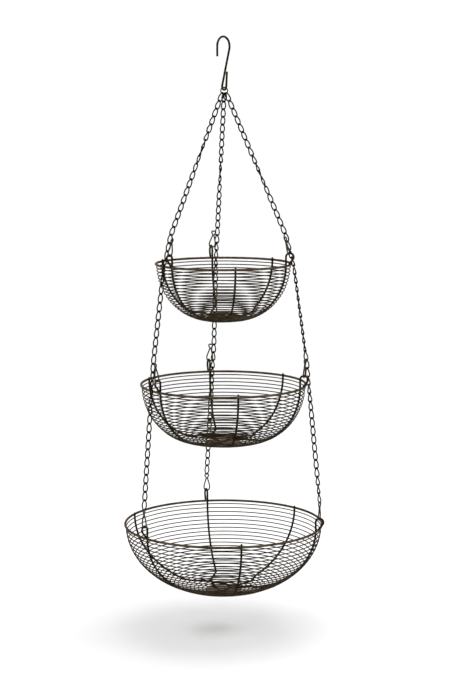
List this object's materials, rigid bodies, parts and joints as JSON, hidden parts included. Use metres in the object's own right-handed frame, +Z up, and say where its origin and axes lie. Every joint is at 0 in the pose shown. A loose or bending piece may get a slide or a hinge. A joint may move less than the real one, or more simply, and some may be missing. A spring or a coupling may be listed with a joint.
{
  "type": "hanging wire produce basket",
  "caption": "Hanging kitchen basket of stacked round wire bowls on chains under an S-hook, each bowl swinging on clips below the one above.",
  "frame": {"origin": "inside of the S-hook's upper bend, the point that rests on the rail", "axes": "+Z up along the hanging axis; the rear chain stands towards +Y and the other two at 210 and 330 degrees around Z, so -Y is the front and +X is the front view's right"},
  "size_m": [0.298, 0.3059, 0.8273],
  "materials": {
    "bronze_wire": "antique bronze, semi-gloss, slightly worn",
    "chain_bronze": "dark antique bronze, satin",
    "clip_steel": "drawn wire, dull brownish grey"
  },
  "bodies": {
    "hook": {"s_hook": "bronze_wire"},
    "ring": {"hanging_ring": "chain_bronze"},
    "small_tier": {"small_chain_back": "chain_bronze", "small_chain_left": "chain_bronze", "small_chain_right": "chain_bronze", "small_bypass_chain_back": "chain_bronze", "small_bypass_chain_left": "chain_bronze", "small_bypass_chain_right": "chain_bronze", "small_clip_back": "clip_steel", "small_clip_left": "clip_steel", "small_clip_right": "clip_steel", "small_rim": "bronze_wire", "small_ring_cage": "bronze_wire", "small_rib_left": "bronze_wire", "small_rib_right": "bronze_wire", "small_base_plate": "bronze_wire"},
    "medium_turn_back": {"medium_turn_link_back": "chain_bronze"},
    "medium_chain_back": {"medium_chain_back": "chain_bronze"},
    "medium_turn_left": {"medium_turn_link_left": "chain_bronze"},
    "medium_chain_left": {"medium_chain_left": "chain_bronze", "medium_clip_left": "clip_steel", "medium_bypass_chain_left": "chain_bronze"},
    "medium_turn_right": {"medium_turn_link_right": "chain_bronze"},
    "medium_chain_right": {"medium_chain_right": "chain_bronze", "medium_clip_right": "clip_steel", "medium_bypass_chain_right": "chain_bronze"},
    "medium_clip_back": {"medium_clip_back": "clip_steel", "medium_bypass_chain_back": "chain_bronze"},
    "medium_tier": {"medium_rim": "bronze_wire", "medium_ring_cage": "bronze_wire", "medium_rib_left": "bronze_wire", "medium_rib_right": "bronze_wire", "medium_base_plate": "bronze_wire"},
    "large_turn_back": {"large_turn_link_back": "chain_bronze"},
    "large_chain_back": {"large_chain_back": "chain_bronze"},
    "large_turn_left": {"large_turn_link_left": "chain_bronze"},
    "large_chain_left": {"large_chain_left": "chain_bronze", "large_clip_left": "clip_steel"},
    "large_turn_right": {"large_turn_link_right": "chain_bronze"},
    "large_chain_right": {"large_chain_right": "chain_bronze", "large_clip_right": "clip_steel"},
    "large_clip_back": {"large_clip_back": "clip_steel"},
    "large_tier": {"large_rim": "bronze_wire", "large_ring_cage": "bronze_wire", "large_rib_left": "bronze_wire", "large_rib_right": "bronze_wire", "large_base_plate": "bronze_wire"}
  },
  "joints": [
    {"name": "ring_swing", "type": "hinge", "parent": "hook", "child": "ring", "pos_m": [0.00134, 0.00112, -0.0755], "axis": [0, 1, 0], "range_deg": [-20, 20]},
    {"name": "small_tier_swing", "type": "hinge", "parent": "ring", "child": "small_tier", "pos_m": [0.00134, 0.00112, -0.0821], "axis": [1, 0, 0], "range_deg": [-20, 20]},
    {"name": "medium_fore_sway_back", "type": "hinge", "parent": "small_tier", "child": "medium_turn_back", "pos_m": [0, 0.1065, -0.331], "axis": [1, 0, 0], "range_deg": [-8, 8]},
    {"name": "medium_side_sway_back", "type": "hinge", "parent": "medium_turn_back", "child": "medium_chain_back", "pos_m": [0, 0.10832, -0.34355], "axis": [0, 1, 0], "range_deg": [-8, 8]},
    {"name": "medium_fore_sway_left", "type": "hinge", "parent": "small_tier", "child": "medium_turn_left", "pos_m": [-0.09223, -0.05325, -0.331], "axis": [1, 0, 0], "range_deg": [-8, 8]},
    {"name": "medium_side_sway_left", "type": "hinge", "parent": "medium_turn_left", "child": "medium_chain_left", "pos_m": [-0.09381, -0.05416, -0.34355], "axis": [0, 1, 0], "range_deg": [-8, 8]},
    {"name": "medium_fore_sway_right", "type": "hinge", "parent": "small_tier", "child": "medium_turn_right", "pos_m": [0.09223, -0.05325, -0.331], "axis": [1, 0, 0], "range_deg": [-8, 8]},
    {"name": "medium_side_sway_right", "type": "hinge", "parent": "medium_turn_right", "child": "medium_chain_right", "pos_m": [0.09381, -0.05416, -0.34355], "axis": [0, 1, 0], "range_deg": [-8, 8]},
    {"name": "medium_clip_tip", "type": "hinge", "parent": "medium_chain_back", "child": "medium_clip_back", "pos_m": [0, 0.1252, -0.4949], "axis": [0, 1, 0], "range_deg": [-8, 8]},
    {"name": "medium_tier_tip", "type": "hinge", "parent": "medium_clip_back", "child": "medium_tier", "pos_m": [0, 0.1252, -0.4949], "axis": [1, 0, 0], "range_deg": [-8, 8]},
    {"name": "large_fore_sway_back", "type": "hinge", "parent": "medium_tier", "child": "large_turn_back", "pos_m": [0, 0.13072, -0.50594], "axis": [1, 0, 0], "range_deg": [-8, 8]},
    {"name": "large_side_sway_back", "type": "hinge", "parent": "large_turn_back", "child": "large_chain_back", "pos_m": [0, 0.13212, -0.51819], "axis": [0, 1, 0], "range_deg": [-8, 8]},
    {"name": "large_fore_sway_left", "type": "hinge", "parent": "medium_tier", "child": "large_turn_left", "pos_m": [-0.1132, -0.06536, -0.50594], "axis": [1, 0, 0], "range_deg": [-8, 8]},
    {"name": "large_side_sway_left", "type": "hinge", "parent": "large_turn_left", "child": "large_chain_left", "pos_m": [-0.11442, -0.06606, -0.51819], "axis": [0, 1, 0], "range_deg": [-8, 8]},
    {"name": "large_fore_sway_right", "type": "hinge", "parent": "medium_tier", "child": "large_turn_right", "pos_m": [0.1132, -0.06536, -0.50594], "axis": [1, 0, 0], "range_deg": [-8, 8]},
    {"name": "large_side_sway_right", "type": "hinge", "parent": "large_turn_right", "child": "large_chain_right", "pos_m": [0.11442, -0.06606, -0.51819], "axis": [0, 1, 0], "range_deg": [-8, 8]},
    {"name": "large_clip_tip", "type": "hinge", "parent": "large_chain_back", "child": "large_clip_back", "pos_m": [0, 0.15007, -0.7059], "axis": [0, 1, 0], "range_deg": [-8, 8]},
    {"name": "large_tier_tip", "type": "hinge", "parent": "large_clip_back", "child": "large_tier", "pos_m": [0, 0.15007, -0.7059], "axis": [1, 0, 0], "range_deg": [-8, 8]}
  ],
  "couplings": [
    {"joint": "medium_fore_sway_left", "follows": "medium_fore_sway_back", "ratio": 1},
    {"joint": "medium_side_sway_left", "follows": "medium_side_sway_back", "ratio": 1},
    {"joint": "medium_fore_sway_right", "follows": "medium_fore_sway_back", "ratio": 1},
    {"joint": "medium_side_sway_right", "follows": "medium_side_sway_back", "ratio": 1},
    {"joint": "medium_clip_tip", "follows": "medium_side_sway_back", "ratio": -0.8651},
    {"joint": "medium_tier_tip", "follows": "medium_fore_sway_back", "ratio": -0.8506},
    {"joint": "large_fore_sway_left", "follows": "large_fore_sway_back", "ratio": 1},
    {"joint": "large_side_sway_left", "follows": "large_side_sway_back", "ratio": 1},
    {"joint": "large_fore_sway_right", "follows": "large_fore_sway_back", "ratio": 1},
    {"joint": "large_side_sway_right", "follows": "large_side_sway_back", "ratio": 1},
    {"joint": "large_clip_tip", "follows": "large_side_sway_back", "ratio": -0.8803},
    {"joint": "large_tier_tip", "follows": "large_fore_sway_back", "ratio": -0.871}
  ]
}
